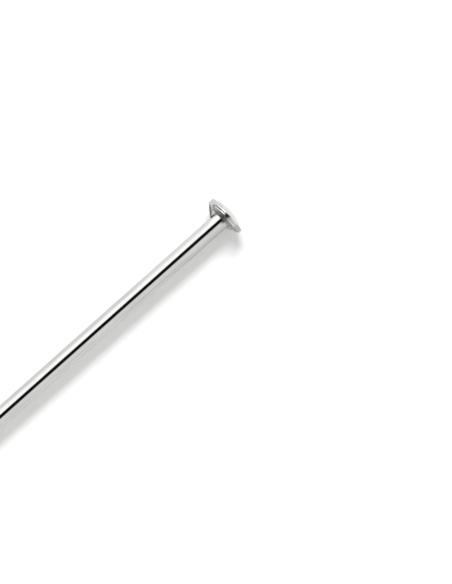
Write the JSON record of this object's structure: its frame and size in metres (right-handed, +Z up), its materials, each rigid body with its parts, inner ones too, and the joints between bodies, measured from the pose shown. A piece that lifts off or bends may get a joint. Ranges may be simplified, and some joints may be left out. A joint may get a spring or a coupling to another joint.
{
  "type": "straight pin",
  "caption": "Straight steel dressmaking pin: bright plated wire with a ground ogive point and a small domed head with two forming fins under it.",
  "frame": {"origin": "middle of the pin's length, on the surface that the rim of the head rests on, straight under the wire's axis", "axes": "+X along the wire from the point to the head, +Z up, the wire's axis level above the surface"},
  "size_m": [0.03, 0.0014, 0.0014],
  "materials": {
    "plated_wire": "bright nickel plating over drawn and polished steel wire",
    "plated_head": "bright nickel plating over a formed steel head, slightly less even than the wire"
  },
  "bodies": {
    "root": {"wire_shank": "plated_wire", "head": "plated_head"}
  },
  "joints": []
}
